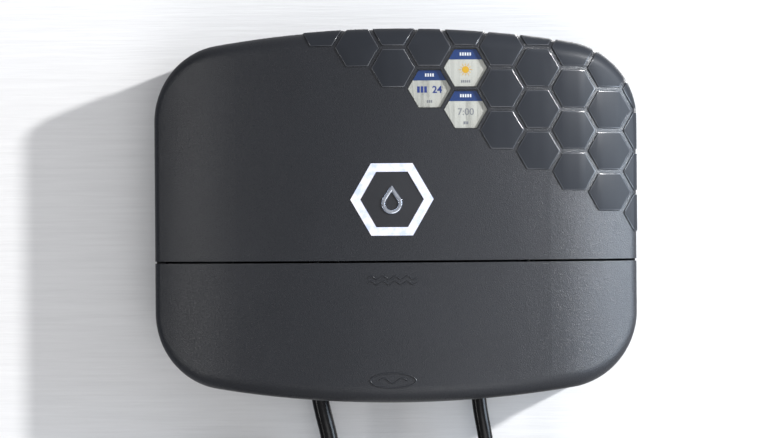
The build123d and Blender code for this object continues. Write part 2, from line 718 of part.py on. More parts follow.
def board_ribbons():
    front = BOARD_Y - BOARD_THICK
    to_ring = ribbon(-26, -14, [(front - 5.4, 28), (-34, 28), (-42, 18), (-52.4, 18)])
    to_display = ribbon(12, 24, [(front - 5.4, 54), (-32, 54), (-40, 66), (-53.4, 66)])
    to_terminals = ribbon(-48, -26, [(-17, -15.5), (-17, -22), (-24, -27), (-24, -31)])
    return group([to_ring, to_display, to_terminals])


def ribbon_connectors():
    shapes = [on_board((-28, -12), (25, 31), 5.4), on_board((10, 26), (51, 57), 5.4)]
    shapes.append(block((-28, -12), (RING_BOARD_Y + BOARD_THICK, -52.4), (15, 21)))
    shapes.append(block((10, 26), (-58, -53.4), (63, 69)))
    shapes.append(block((-50, -24), (BOARD_Y - BOARD_THICK, -20.5), (-15.5, -11.2)))
    shapes.append(block((-50, -24), (PANEL_Y - 2.5, -27), (-36, -31)))
    return group(shapes)


def crown_rise(x):
    """How far the lower edge of the case rises at a distance from its middle."""
    return x ** 2 / (2 * ARC_R)


def gland(x, diameter):
    """A moulded strain relief: a low flange under the wall and a tapered sleeve inside."""
    hole = diameter / 2
    body_r = hole + GLAND_WALL
    flange_r = body_r + GLAND_FLANGE
    underside = -HALF_H + HOUSING_INSET + crown_rise(abs(x) - flange_r)
    wall_top = -HALF_H + HOUSING_INSET + HOUSING_WALL + crown_rise(abs(x) + body_r) + 0.2
    foot = underside - GLAND_PROUD
    shape = rod(body_r, (x, CORD_Y, foot), (x, CORD_Y, wall_top + 2))
    shape += rod(flange_r, (x, CORD_Y, foot), (x, CORD_Y, underside))
    foot_up = (Align.CENTER, Align.CENTER, Align.MIN)
    sleeve = Cone(body_r + 0.6, hole + 1.0, SLEEVE_TOP - wall_top, align=foot_up)
    shape += Pos(x, CORD_Y, wall_top) * sleeve
    return shape - rod(hole, (x, CORD_Y, -110), (x, CORD_Y, -70))


# ---------------------------------------------------------------- cords
POWER_COIL = (95.0, -190.0)
POWER_TRACKS = (39.9, 48.1)
POWER_LAYER_Y = (-7.3, -15.6)
VALVE_COIL = (-87.0, -194.0)
VALVE_TRACKS = (42.2, 51.7)
VALVE_LAYER_Y = (-7.9, -17.4)
POWER_ROUTE = [(POWER_X, CORD_Y, SLEEVE_TOP), (44.4, -18, -92), (45.6, -17.8, -106), (48.2, -16.4, -120),
               (50.2, -13.4, -135), (50.4, -10.4, -151), (48.8, -8.2, -167)]
VALVE_ROUTE = [(VALVE_X, CORD_Y, SLEEVE_TOP), (-43.9, -18, -92), (-41.6, -17.8, -106), (-38.0, -16.6, -120),
               (-35.6, -14.0, -135), (-34.6, -11.2, -151), (-34.8, -8.8, -168)]
# the last stretch of each cord rises over its coil: (angle, radius, y) around the coil
POWER_TAIL_TURN = [(104, 47.0, -22.6), (121, 46.3, -26.4), (138, 45.2, -29.6), (155, 44.0, -31.8)]
VALVE_TAIL_TURN = [(76, 50.5, -24.4), (58, 50.0, -27.0), (40, 49.2, -28.6), (22, 48.4, -29.3)]
PLUG_X = POWER_COIL[0] - 43.2
PLUG_Y = -32.6
PLUG_TOP = POWER_COIL[1] + 1
CONDUCTOR_FOOT = (VALVE_COIL[0] + 48.0, -29.4, VALVE_COIL[1] - 6)


def tail_points(centre, turn, end):
    points = []
    for angle, radius, y in turn:
        angle = math.radians(angle)
        points.append((centre[0] + radius * math.cos(angle), y, centre[1] + radius * math.sin(angle)))
    return points + [end]


def coil(centre, tracks, layers, diameter):
    """The outer shape of a wound coil: a ring around an axis along Y."""
    x, z = centre
    outer = tracks[1] + diameter / 2
    inner = tracks[0] - diameter / 2
    back = layers[0] + diameter / 2
    front = layers[1] - diameter / 2
    shape = rod(outer, (x, back, z), (x, front, z)) - rod(inner, (x, back + 1, z), (x, front - 1, z))
    return fillet(shape.edges().filter_by(GeomType.CIRCLE), diameter / 3)


def cord_tie(centre, tracks, layers, diameter):
    """A strap around the coil's turns."""
    x, z = centre
    outer = tracks[1] + diameter / 2
    inner = tracks[0] - diameter / 2
    back = layers[0] + diameter / 2
    front = layers[1] - diameter / 2
    ring = rod(outer + 1.4, (x, back + 1.2, z), (x, front - 1.2, z))
    ring -= rod(inner - 1.4, (x, back + 3, z), (x, front - 3, z))
    strap = ring & block((x - 6, x + 6), (5, -60), (z - 20, z - 90))
    return strap - (rod(outer, (x, back, z), (x, front, z)) - rod(inner, (x, back, z), (x, front, z)))


def power_plug():
    sizes = [(0, 9, 9), (10, 10.5, 10.5), (13, 20, 17), (27, 25, 21), (37, 26, 22)]
    shape = None
    for (z0, w0, t0), (z1, w1, t1) in zip(sizes, sizes[1:]):
        low = Plane(origin=(PLUG_X, PLUG_Y, PLUG_TOP - z0), z_dir=(0, 0, -1)) * RectangleRounded(w0, t0, 3.2)
        high = Plane(origin=(PLUG_X, PLUG_Y, PLUG_TOP - z1), z_dir=(0, 0, -1)) * RectangleRounded(w1, t1, 3.2)
        part = loft([low, high], ruled=True)
        shape = part if shape is None else shape + part
    return shape


def plug_blades():
    foot = PLUG_TOP - 37
    blades = [block((PLUG_X + s - 0.75, PLUG_X + s + 0.75), (PLUG_Y - 3.2, PLUG_Y + 3.2), (foot, foot - 17))
              for s in (-6.35, 6.35)]
    blades = [fillet(b.edges().filter_by(Axis.X).group_by(Axis.Z)[0], 1.2) for b in blades]
    pin = rod(2.4, (PLUG_X, PLUG_Y - 7.2, foot), (PLUG_X, PLUG_Y - 7.2, foot - 20))
    return group(blades + [fillet(pin.edges().group_by(Axis.Z)[0], 1.6)])


def valve_conductors():
    x, y, z = CONDUCTOR_FOOT
    wires = [rod(1.0, (x, y, z), (x, y, z - 30))]
    for i in range(6):
        angle = math.radians(60 * i)
        dx, dy = 2.6 * math.cos(angle), 2.6 * math.sin(angle)
        wires.append(rod(1.0, (x + dx, y + dy, z), (x + 1.5 * dx, y + 1.2 * dy, z - 28 - i)))
    return group(wires)


def main():
    keep("rear_housing", rear_housing())
    keep("upper_cover", upper_cover())
    keep("wiring_door", wiring_door())
    keep("hinge_pin", hinge_pin())
    keep("rim_gasket", rim_gasket())
    keep("tile_relief", tile_relief())
    keep("housing_screws", housing_screws())
    keep("board_screws", board_screws())
    keep("conduit_plug", conduit_plug())
    keep("display_lenses", display_lenses())
    for name, cell in DISPLAY_CELLS.items():
        keep("display_panel_" + name, display_panel(cell))
    keep("display_frame", display_frame())
    keep("display_board", display_board())
    keep("light_ring", light_ring())
    keep("ring_board", ring_board())
    keep("ring_leds", ring_leds())
    keep("hex_button", hex_button())
    keep("button_emblem", button_emblem())
    keep("button_switch", button_switch())
    keep("main_board", main_board())
    keep("station_triacs", station_triacs())
    keep("filter_capacitors", filter_capacitors())
    keep("surge_varistors", surge_varistors())
    keep("glass_fuse", glass_fuse())
    keep("fuse_clips", fuse_clips())
    keep("processor_chip", processor_chip())
    keep("wireless_module", wireless_module())
    keep("transformer_core", transformer_core())
    keep("transformer_coil", transformer_coil())
    keep("transformer_bracket", transformer_bracket())
    keep("terminal_panel", terminal_panel())
    keep("terminal_block", terminal_block())
    keep("lever_axle", lever_axle())
    for i in range(STATIONS):
        keep("terminal_lever_" + str(i + 1), terminal_lever(i))
    keep("station_wires", station_wires())
    keep("mains_wires", mains_wires())
    keep("board_ribbons", board_ribbons())
    keep("ribbon_connectors", ribbon_connectors())
    keep("power_gland", gland(POWER_X, POWER_D))
    keep("valve_gland", gland(VALVE_X, VALVE_D))
    keep("power_cord_lead", tube(POWER_ROUTE, POWER_D))
    keep("power_cord_coil", coil(POWER_COIL, POWER_TRACKS, POWER_LAYER_Y, POWER_D))
    power_tail = tail_points(POWER_COIL, POWER_TAIL_TURN, (PLUG_X, PLUG_Y, PLUG_TOP))
    keep("power_cord_tail", tube(power_tail, POWER_D))
    keep("power_cord_tie", cord_tie(POWER_COIL, POWER_TRACKS, POWER_LAYER_Y, POWER_D))
    keep("power_plug", power_plug())
    keep("plug_blades", plug_blades())
    keep("valve_cable_lead", tube(VALVE_ROUTE, VALVE_D))
    keep("valve_cable_coil", coil(VALVE_COIL, VALVE_TRACKS, VALVE_LAYER_Y, VALVE_D))
    valve_tail = tail_points(VALVE_COIL, VALVE_TAIL_TURN, CONDUCTOR_FOOT)
    keep("valve_cable_tail", tube(valve_tail, VALVE_D))
    keep("valve_conductors", valve_conductors())
    keep("valve_cable_tie", cord_tie(VALVE_COIL, VALVE_TRACKS, VALVE_LAYER_Y, VALVE_D))
    print(len(PARTS), "nodes")
    for name, shape in PARTS.items():
        export_step(shape, "parts/" + name + ".step")


main()
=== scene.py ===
import math

import bmesh
import bpy
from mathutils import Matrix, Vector
from mathutils.bvhtree import BVHTree


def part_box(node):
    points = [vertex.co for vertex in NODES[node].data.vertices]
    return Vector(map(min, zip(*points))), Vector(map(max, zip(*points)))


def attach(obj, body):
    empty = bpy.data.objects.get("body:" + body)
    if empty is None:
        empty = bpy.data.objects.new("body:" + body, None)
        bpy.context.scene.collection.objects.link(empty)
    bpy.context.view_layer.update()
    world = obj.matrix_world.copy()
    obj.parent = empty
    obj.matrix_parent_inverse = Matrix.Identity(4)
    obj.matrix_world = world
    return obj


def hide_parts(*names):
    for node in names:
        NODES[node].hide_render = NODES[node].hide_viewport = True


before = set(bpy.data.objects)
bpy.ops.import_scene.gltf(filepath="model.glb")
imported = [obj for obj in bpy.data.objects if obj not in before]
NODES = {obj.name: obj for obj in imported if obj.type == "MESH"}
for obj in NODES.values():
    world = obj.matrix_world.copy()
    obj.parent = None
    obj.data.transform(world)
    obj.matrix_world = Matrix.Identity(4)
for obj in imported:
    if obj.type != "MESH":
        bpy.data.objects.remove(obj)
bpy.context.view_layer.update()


# ---------------------------------------------------------------- camera
LENS = 149.0
SENSOR_WIDTH = 36.0
CAMERA_PLACE = (0.067, -1.8, -0.007)
CAMERA_ROLL = -0.43
AIM_X, AIM_Z = -0.0025, -0.0015
AIM_BEHIND_MIDDLE = 0.016


def place_camera():
    """A long lens, almost square on, a little to the right of the case."""
    low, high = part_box("upper_cover")
    middle_y = (low.y + high.y) / 2
    data = bpy.data.cameras.new("camera")
    data.lens = LENS
    data.sensor_width = SENSOR_WIDTH
    data.clip_end = 20
    camera = bpy.data.objects.new("camera", data)
    bpy.context.collection.objects.link(camera)
    camera.location = CAMERA_PLACE
    target = Vector((AIM_X, middle_y + AIM_BEHIND_MIDDLE, AIM_Z))
    look = (target - camera.location).to_track_quat("-Z", "Y")
    camera.rotation_euler = look.to_euler()
    camera.rotation_euler.rotate_axis("Z", math.radians(CAMERA_ROLL))
    bpy.context.scene.camera = camera


# ---------------------------------------------------------------- cords
TURN_POINTS = 16
TURNS = 3.75
MOVE_IN = (0.80, 1.00)
MOVE_FORWARD = (1.72, 1.92)
MOVE_OUT = (2.60, 2.82)
CROSS_OVER = (3.55, 3.78)
CROSSING_LIFT = 1.02
CORD_SIDES = 5
CORD_STEPS = 6
POWER = {
    "diameter": 0.0082, "coil": (0.095, -0.190), "tracks": (0.0399, 0.0481),
    "layers": (-0.0073, -0.0156), "start": 180, "way": 1,
    "route": [(0.0443, -0.0180, -0.0800), (0.0444, -0.0180, -0.0920), (0.0456, -0.0178, -0.1060),
              (0.0482, -0.0164, -0.1200), (0.0502, -0.0134, -0.1350), (0.0504, -0.0104, -0.1510),
              (0.0488, -0.0082, -0.1670)],
    "tail": [(104, 0.0470, -0.0232), (121, 0.0463, -0.0268), (138, 0.0452, -0.0296),
             (155, 0.0440, -0.0318)],
    "end": (0.0518, -0.0326, -0.1890),
}
VALVE = {
    "diameter": 0.0094, "coil": (-0.087, -0.194), "tracks": (0.0422, 0.0517),
    "layers": (-0.0079, -0.0174), "start": 0, "way": -1,
    "route": [(-0.0441, -0.0180, -0.0800), (-0.0439, -0.0180, -0.0920), (-0.0416, -0.0178, -0.1060),
              (-0.0380, -0.0166, -0.1200), (-0.0356, -0.0140, -0.1350), (-0.0346, -0.0112, -0.1510),
              (-0.0348, -0.0088, -0.1680)],
    "tail": [(76, 0.0505, -0.0250), (58, 0.0500, -0.0272), (40, 0.0492, -0.0286), (22, 0.0484, -0.0293)],
    "end": (-0.0390, -0.0294, -0.2000),
}


def eased(turn, start, end):
    """Rises smoothly from 0 to 1 between two turns."""
    share = min(max((turn - start) / (end - start), 0), 1)
    return share * share * (3 - 2 * share)


def coil_points(cord):
    """A wound coil: outer then inner track at the back, inner then outer at the front, then over the top."""
    inner, outer = cord["tracks"]
    back, front = cord["layers"]
    lift = cord["diameter"] * CROSSING_LIFT
    fit = 8 / (6 + 2 * math.cos(2 * math.pi / TURN_POINTS))
    points = []
    for i in range(int(TURNS * TURN_POINTS)):
        turn = i / TURN_POINTS
        radius = outer + (inner - outer) * (eased(turn, *MOVE_IN) - eased(turn, *MOVE_OUT))
        depth = back + (front - back) * eased(turn, *MOVE_FORWARD) - lift * eased(turn, *CROSS_OVER)
        angle = math.radians(cord["start"] + cord["way"] * 360 * turn)
        points.append((cord["coil"][0] + radius * fit * math.cos(angle), depth,
                       cord["coil"][1] + radius * fit * math.sin(angle)))
    return points


def tail_points(cord):
    """The last stretch, off the coil and on to the cord's far end."""
    points = []
    for angle, radius, depth in cord["tail"]:
        angle = math.radians(angle)
        points.append((cord["coil"][0] + radius * math.cos(angle), depth,
                       cord["coil"][1] + radius * math.sin(angle)))
    return points + [cord["end"]]


def make_cord(name, cord, material):
    """One cord from its gland to its far end, as one smooth line."""
    points = cord["route"] + coil_points(cord) + tail_points(cord)
    data = bpy.data.curves.new(name, "CURVE")
    data.dimensions = "3D"
    spline = data.splines.new("NURBS")
    spline.points.add(len(points) - 1)
    for point, place in zip(spline.points, points):
        point.co = (*place, 1)
    spline.order_u = 3
    spline.use_endpoint_u = True
    spline.resolution_u = CORD_STEPS
    data.bevel_depth = cord["diameter"] / 2
    data.bevel_resolution = CORD_SIDES
    data.use_fill_caps = True
    data.materials.append(material)
    piece = bpy.data.objects.new(name, data)
    bpy.context.collection.objects.link(piece)
    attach(piece, "case")
    return piece


# ---------------------------------------------------------------- materials
def shader_of(name):
    """A new material with its node tree and its shader."""
    material = bpy.data.materials.new(name)
    material.use_nodes = True
    tree = material.node_tree
    return material, tree, tree.nodes["Principled BSDF"]


def node(tree, kind, **settings):
    made = tree.nodes.new(kind)
    for key, value in settings.items():
        setattr(made, key, value)
    return made


def place(tree, stretch=(1, 1, 1)):
    """Position on the object in metres, stretched if wanted."""
    coordinate = node(tree, "ShaderNodeTexCoord").outputs["Object"]
    if stretch == (1, 1, 1):
        return coordinate
    mapping = node(tree, "ShaderNodeMapping")
    mapping.inputs["Scale"].default_value = stretch
    tree.links.new(coordinate, mapping.inputs["Vector"])
    return mapping.outputs["Vector"]


def noise(tree, size, detail=3.0, rough=0.55, stretch=(1, 1, 1)):
    """Noise whose features are about a size in metres."""
    made = node(tree, "ShaderNodeTexNoise")
    made.inputs["Scale"].default_value = 1 / size
    made.inputs["Detail"].default_value = detail
    made.inputs["Roughness"].default_value = rough
    tree.links.new(place(tree, stretch), made.inputs["Vector"])
    return made.outputs["Fac"]


def ramp(tree, factor, stops):
    """Colours along a factor, from pairs of a place and a colour."""
    made = node(tree, "ShaderNodeValToRGB")
    elements = made.color_ramp.elements
    for i, (at, colour) in enumerate(stops):
        element = elements[i] if i < 2 else elements.new(at)
        element.position = at
        element.color = (*colour, 1)
    tree.links.new(factor, made.inputs["Fac"])
    return made.outputs["Color"]


def two_tone(tree, factor, dark, light, start=0.3, end=0.7):
    """Two colours blended over a factor's middle range."""
    return ramp(tree, factor, [(start, dark), (end, light)])


def spread(tree, factor, low, high, start=0.3, end=0.7):
    """A factor's middle range mapped to a pair of values."""
    made = node(tree, "ShaderNodeMapRange")
    made.inputs["From Min"].default_value = start
    made.inputs["From Max"].default_value = end
    made.inputs["To Min"].default_value = low
    made.inputs["To Max"].default_value = high
    tree.links.new(factor, made.inputs["Value"])
    return made.outputs["Result"]


def bumped(tree, shader, height, depth, strength=1.0, under=None):
    """A relief some metres deep on a shader, over another one if wanted."""
    made = node(tree, "ShaderNodeBump")
    made.inputs["Strength"].default_value = strength
    made.inputs["Distance"].default_value = depth
    tree.links.new(height, made.inputs["Height"])
    if under:
        tree.links.new(under, made.inputs["Normal"])
    tree.links.new(made.outputs["Normal"], shader.inputs["Normal"])
    return made.outputs["Normal"]


def surface(name, dark, light, rough=(0.4, 0.55), grain=0.0006, depth=0.00002, blotch=0.012,
            metallic=0.0, coat=0.0, stretch=(1, 1, 1)):
    """A moulded or milled surface: a blotchy colour, a fine grain and uneven gloss."""
    material, tree, shader = shader_of(name)
    shader.inputs["Metallic"].default_value = metallic
    shader.inputs["Coat Weight"].default_value = coat
    blotches = noise(tree, blotch, 4.0, stretch=stretch)
    fine = noise(tree, grain, 3.0, 0.6, stretch)
    tree.links.new(two_tone(tree, blotches, dark, light), shader.inputs["Base Color"])
    tree.links.new(spread(tree, fine, *rough), shader.inputs["Roughness"])
    bumped(tree, shader, fine, depth)
    return material


CASE_GRAIN = 0.00035
CASE_FACET = 0.0005
CASE_BLOTCH = 0.03
SHADE_CHANGE = 0.06
GLOSS_CHANGE = 0.07


def case_plastic(name, base, rough, sparkle):
    """Charcoal plastic from a spark-eroded mould: a fine grain whose facets glitter in grazing light."""
    material, tree, shader = shader_of(name)
    dark = [c * (1 - SHADE_CHANGE) for c in base]
    light = [c * (1 + SHADE_CHANGE) for c in base]
    blotches = noise(tree, CASE_BLOTCH, 5.0)
    tree.links.new(two_tone(tree, blotches, dark, light), shader.inputs["Base Color"])
    fine = noise(tree, CASE_GRAIN, 2.0, 0.7)
    tree.links.new(spread(tree, fine, rough + GLOSS_CHANGE, rough - GLOSS_CHANGE), shader.inputs["Roughness"])
    facets = node(tree, "ShaderNodeTexVoronoi")
    facets.inputs["Scale"].default_value = 1 / CASE_FACET
    tree.links.new(place(tree), facets.inputs["Vector"])
    under = bumped(tree, shader, facets.outputs["Distance"], sparkle, 0.5)
    bumped(tree, shader, fine, sparkle, 0.6, under)
    return material


def glowing(name, colours, strength, size=0.004, rough=0.3):
    """A lit light guide, whose glow is a little uneven."""
    material, tree, shader = shader_of(name)
    colour = two_tone(tree, noise(tree, size), *colours, 0.35, 0.65)
    unlit = two_tone(tree, noise(tree, size * 3), (0.18, 0.19, 0.2), (0.24, 0.24, 0.25))
    tree.links.new(unlit, shader.inputs["Base Color"])
    tree.links.new(colour, shader.inputs["Emission Color"])
    shader.inputs["Emission Strength"].default_value = strength
    tree.links.new(spread(tree, noise(tree, 0.0008), rough, rough + 0.1), shader.inputs["Roughness"])
    return material


def clear_lens():
    """Clear moulded plastic or glass, seen mostly by its reflections."""
    material, tree, shader = shader_of("clear_lens")
    haze = two_tone(tree, noise(tree, 0.02), (0.10, 0.11, 0.12), (0.14, 0.15, 0.16))
    tree.links.new(haze, shader.inputs["Base Color"])
    tree.links.new(spread(tree, noise(tree, 0.004), 0.08, 0.12), shader.inputs["Roughness"])
    shader.inputs["Alpha"].default_value = 0.06
    return material


def circuit_board():
    """Green solder mask over copper tracks, which show as a low relief."""
    material, tree, shader = shader_of("board_mask")
    tracks = node(tree, "ShaderNodeTexBrick", offset=0.37, squash=0.6, squash_frequency=3)
    for socket, value in (("Scale", 1.0), ("Mortar Size", 0.00035), ("Mortar Smooth", 0.2),
                          ("Brick Width", 0.0062), ("Row Height", 0.0021)):
        tracks.inputs[socket].default_value = value
    turned = node(tree, "ShaderNodeMapping")
    turned.inputs["Rotation"].default_value = (math.radians(90), 0, 0)
    tree.links.new(place(tree), turned.inputs["Vector"])
    tree.links.new(turned.outputs["Vector"], tracks.inputs["Vector"])
    colour = two_tone(tree, tracks.outputs["Fac"], (0.012, 0.085, 0.035), (0.03, 0.16, 0.06), 0.2, 0.8)
    tree.links.new(colour, shader.inputs["Base Color"])
    tree.links.new(spread(tree, noise(tree, 0.003), 0.28, 0.4), shader.inputs["Roughness"])
    bumped(tree, shader, tracks.outputs["Fac"], 0.00003, 0.6)
    return material


def laminations():
    """Stacked steel sheets: thin dark lines across the stack."""
    material, tree, shader = shader_of("core_sheets")
    wave = node(tree, "ShaderNodeTexWave", bands_direction="Y")
    wave.inputs["Scale"].default_value = 314
    wave.inputs["Distortion"].default_value = 0.4
    tree.links.new(place(tree), wave.inputs["Vector"])
    colour = two_tone(tree, wave.outputs["Fac"], (0.05, 0.048, 0.045), (0.27, 0.26, 0.25), 0.05, 0.4)
    tree.links.new(colour, shader.inputs["Base Color"])
    shader.inputs["Metallic"].default_value = 0.85
    tree.links.new(spread(tree, noise(tree, 0.002), 0.35, 0.6), shader.inputs["Roughness"])
    bumped(tree, shader, wave.outputs["Fac"], 0.00005, 0.6)
    return material


def wound_tape():
    """Amber tape wound round the coil, its edges showing as low steps."""
    material, tree, shader = shader_of("amber_tape")
    wave = node(tree, "ShaderNodeTexWave", bands_direction="Z", wave_profile="SAW")
    wave.inputs["Scale"].default_value = 34
    wave.inputs["Distortion"].default_value = 0.8
    tree.links.new(place(tree), wave.inputs["Vector"])
    colour = two_tone(tree, wave.outputs["Fac"], (0.42, 0.21, 0.02), (0.62, 0.36, 0.05), 0.05, 0.3)
    tree.links.new(colour, shader.inputs["Base Color"])
    tree.links.new(spread(tree, noise(tree, 0.004), 0.22, 0.38), shader.inputs["Roughness"])
    bumped(tree, shader, wave.outputs["Fac"], 0.0001, 0.5)
    return material


def ribbon_with_painted_shade():
    """Flat grey cable, whose wires lie side by side, with painted shade darkening the creases between them.
    """
    material, tree, shader = shader_of("ribbon_wires")
    wave = node(tree, "ShaderNodeTexWave", bands_direction="X")
    wave.inputs["Scale"].default_value = 247
    tree.links.new(place(tree), wave.inputs["Vector"])
    # Painted shade: the colour darkens in the creases between the wires.
    colour = two_tone(tree, wave.outputs["Fac"], (0.16, 0.16, 0.17), (0.42, 0.42, 0.43), 0.0, 0.5)
    tree.links.new(colour, shader.inputs["Base Color"])
    tree.links.new(spread(tree, noise(tree, 0.003), 0.4, 0.5), shader.inputs["Roughness"])
    bumped(tree, shader, wave.outputs["Fac"], 0.0003, 0.8)
    return material


def woven_strap():
    """Hook and loop strap: a close weave with a soft nap."""
    material, tree, shader = shader_of("woven_strap")
    weave = node(tree, "ShaderNodeTexWave", bands_direction="DIAGONAL")
    weave.inputs["Scale"].default_value = 500
    weave.inputs["Distortion"].default_value = 6
    weave.inputs["Detail Scale"].default_value = 3
    tree.links.new(place(tree), weave.inputs["Vector"])
    colour = two_tone(tree, weave.outputs["Fac"], (0.012, 0.012, 0.013), (0.05, 0.05, 0.053), 0.1, 0.9)
    tree.links.new(colour, shader.inputs["Base Color"])
    shader.inputs["Sheen Weight"].default_value = 0.3
    tree.links.new(spread(tree, noise(tree, 0.001), 0.75, 0.95), shader.inputs["Roughness"])
    bumped(tree, shader, weave.outputs["Fac"], 0.0003, 0.8)
    return material


FINISHES = {
    "housing_shell": dict(dark=(0.024, 0.025, 0.027), light=(0.032, 0.033, 0.036),
                          rough=(0.5, 0.66), grain=0.0007),
    "seal_rubber": dict(dark=(0.011, 0.011, 0.012), light=(0.019, 0.019, 0.020),
                        rough=(0.62, 0.78), grain=0.0004),
    "black_nylon": dict(dark=(0.012, 0.012, 0.013), light=(0.020, 0.020, 0.022),
                        rough=(0.34, 0.5), grain=0.0006),
    "black_part": dict(dark=(0.012, 0.012, 0.013), light=(0.026, 0.026, 0.027),
                       rough=(0.38, 0.55), grain=0.0004),
    "plug_black": dict(dark=(0.012, 0.012, 0.013), light=(0.019, 0.019, 0.020),
                       rough=(0.34, 0.46), grain=0.0005),
    "panel_grey": dict(dark=(0.20, 0.21, 0.22), light=(0.25, 0.26, 0.27), rough=(0.42, 0.56), grain=0.0006),
    "connector_ivory": dict(dark=(0.62, 0.58, 0.47), light=(0.72, 0.68, 0.57),
                            rough=(0.3, 0.44), grain=0.0009),
    "terminal_green": dict(dark=(0.02, 0.19, 0.07), light=(0.03, 0.25, 0.09),
                           rough=(0.3, 0.42), grain=0.0008),
    "lever_orange": dict(dark=(0.80, 0.23, 0.02), light=(0.90, 0.30, 0.03),
                         rough=(0.28, 0.4), grain=0.0008),
    "steel": dict(dark=(0.44, 0.44, 0.43), light=(0.60, 0.60, 0.59), rough=(0.2, 0.34), grain=0.0003,
                  metallic=1.0, stretch=(0.1, 1, 1), blotch=0.004),
    "screw_zinc": dict(dark=(0.50, 0.49, 0.44), light=(0.68, 0.67, 0.64), rough=(0.22, 0.4), grain=0.0004,
                       metallic=1.0, blotch=0.002),
    "fuse_brass": dict(dark=(0.62, 0.50, 0.30), light=(0.74, 0.66, 0.48), rough=(0.2, 0.36), grain=0.0004,
                       metallic=1.0, blotch=0.002),
    "can_aluminium": dict(dark=(0.07, 0.075, 0.11), light=(0.10, 0.105, 0.15), rough=(0.25, 0.35),
                          grain=0.001, coat=0.3),
    "emblem_chrome": dict(dark=(0.62, 0.66, 0.74), light=(0.82, 0.86, 0.94), rough=(0.05, 0.10),
                          grain=0.0008, metallic=1.0, depth=0.000004, blotch=0.003),
    "led_white": dict(dark=(0.80, 0.78, 0.60), light=(0.88, 0.87, 0.78), rough=(0.2, 0.3), grain=0.0006),
    "display_face": dict(dark=(0.405, 0.410, 0.375), light=(0.42, 0.425, 0.39), rough=(0.4, 0.5),
                         grain=0.0006, depth=0.000002),
}
WIRE_COLOURS = {
    "white": (0.72, 0.71, 0.67), "red": (0.52, 0.025, 0.02), "blue": (0.02, 0.09, 0.42),
    "green": (0.02, 0.24, 0.05), "yellow": (0.78, 0.55, 0.03), "orange": (0.75, 0.22, 0.02),
    "black": (0.015, 0.015, 0.016),
}
STATION_WIRES = ("white", "red", "blue", "green", "yellow")
MAINS_WIRES = ("black", "white")
VALVE_CONDUCTORS = STATION_WIRES + ("orange", "black")


def set_shine(material, level):
    """How strongly a material's surface reflects."""
    material.node_tree.nodes["Principled BSDF"].inputs["Specular IOR Level"].default_value = level


def make_materials():
    """Every material, by the slot that it belongs to."""
    made = {name: surface(name + "_finish", **settings) for name, settings in FINISHES.items()}
    made["cover_shell"] = case_plastic("cover_plastic", (0.0178, 0.0194, 0.0238), 0.31, 0.00016)
    made["button_gloss"] = case_plastic("button_plastic", (0.019, 0.020, 0.024), 0.42, 0.00006)
    made["tile_skin"] = case_plastic("tile_plastic", (0.024, 0.0265, 0.032), 0.42, 0.00001)
    # The tile bevels get a lighter copy of the tile plastic: a painted highlight that brightens their glints.
    made["tile_edge"] = case_plastic("tile_edge_painted_glint", (0.045, 0.048, 0.056), 0.24, 0.00001)
    made["lens_clear"] = clear_lens()
    made["fuse_glass"] = made["lens_clear"]
    made["circuit_board"] = circuit_board()
    made["core_steel"] = laminations()
    made["coil_tape"] = wound_tape()
    made["ribbon_grey"] = ribbon_with_painted_shade()
    made["tie_black"] = woven_strap()
    made["light_guide"] = glowing("ring_light", [(0.56, 0.66, 0.98), (1.0, 0.95, 0.98)], 0.9)
    made["cord_black"] = surface("cord_jacket", (0.004, 0.004, 0.0045), (0.007, 0.007, 0.0075),
                                 (0.16, 0.26), 0.0015, 0.00003, stretch=(1, 1, 0.3))
    for slot, level in (("tile_skin", 0.14), ("tile_edge", 0.9), ("cord_black", 0.25)):
        set_shine(made[slot], level)
    for colour, value in WIRE_COLOURS.items():
        dark = [c * 0.9 for c in value]
        made["wire_" + colour] = surface("wire_" + colour, dark, value, (0.3, 0.42), 0.001)
    return made


def solids_of(mesh):
    """For each face, the number of the separate solid that it belongs to, counted from the left."""
    names = {}
    vertex = [names.setdefault(tuple(round(c, 6) for c in v.co), len(names)) for v in mesh.vertices]
    parent = list(range(len(names)))

    def root(i):
        while parent[i] != i:
            parent[i] = parent[parent[i]]
            i = parent[i]
        return i

    for face in mesh.polygons:
        first = root(vertex[face.vertices[0]])
        for other in face.vertices[1:]:
            parent[root(vertex[other])] = first
    lowest = {}
    for v in mesh.vertices:
        key = root(vertex[v.index])
        lowest[key] = min(lowest.get(key, (9, 9)), (round(v.co.x, 5), v.co.y))
    order = {key: i for i, key in enumerate(sorted(lowest, key=lowest.get))}
    return [order[root(vertex[face.vertices[0]])] for face in mesh.polygons]


def paint(name, materials):
    """Gives a CAD node one material, or one for each of its solids in turn."""
    mesh = NODES[name].data
    mesh.materials.clear()
    for material in materials:
        mesh.materials.append(material)
    if len(materials) > 1:
        solids = solids_of(mesh)
        mesh.polygons.foreach_set("material_index", [s % len(materials) for s in solids])
        mesh.update()


def paint_all(made):
    """Gives every CAD node the material of its slot, and each wire its own colour."""
    for name, piece in NODES.items():
        slot = piece.data.materials[0].name.split(".")[0]
        if slot in made:
            paint(name, [made[slot]])
    for name, colours in (("station_wires", STATION_WIRES), ("mains_wires", MAINS_WIRES),
                          ("valve_conductors", VALVE_CONDUCTORS)):
        paint(name, [made["wire_" + colour] for colour in colours])


# ---------------------------------------------------------------- flat marks laid on a curved face
LONGEST_EDGE = 0.0022
BLOCK_GAP = 0.00035
FIGURE_HEIGHT = 0.69
RAY_START_Y = -0.2


def surface_below(name):
    """A CAD node's faces, ready to be hit by a ray."""
    mesh = NODES[name].data
    return BVHTree.FromPolygons([v.co for v in mesh.vertices], [p.vertices[:] for p in mesh.polygons])


def laid_on(tree, x, z, lift):
    """The place a little in front of a surface, seen from the front."""
    hit = tree.ray_cast(Vector((x, RAY_START_Y, z)), Vector((0, 1, 0)))[0]
    return Vector((x, hit.y - lift, z))


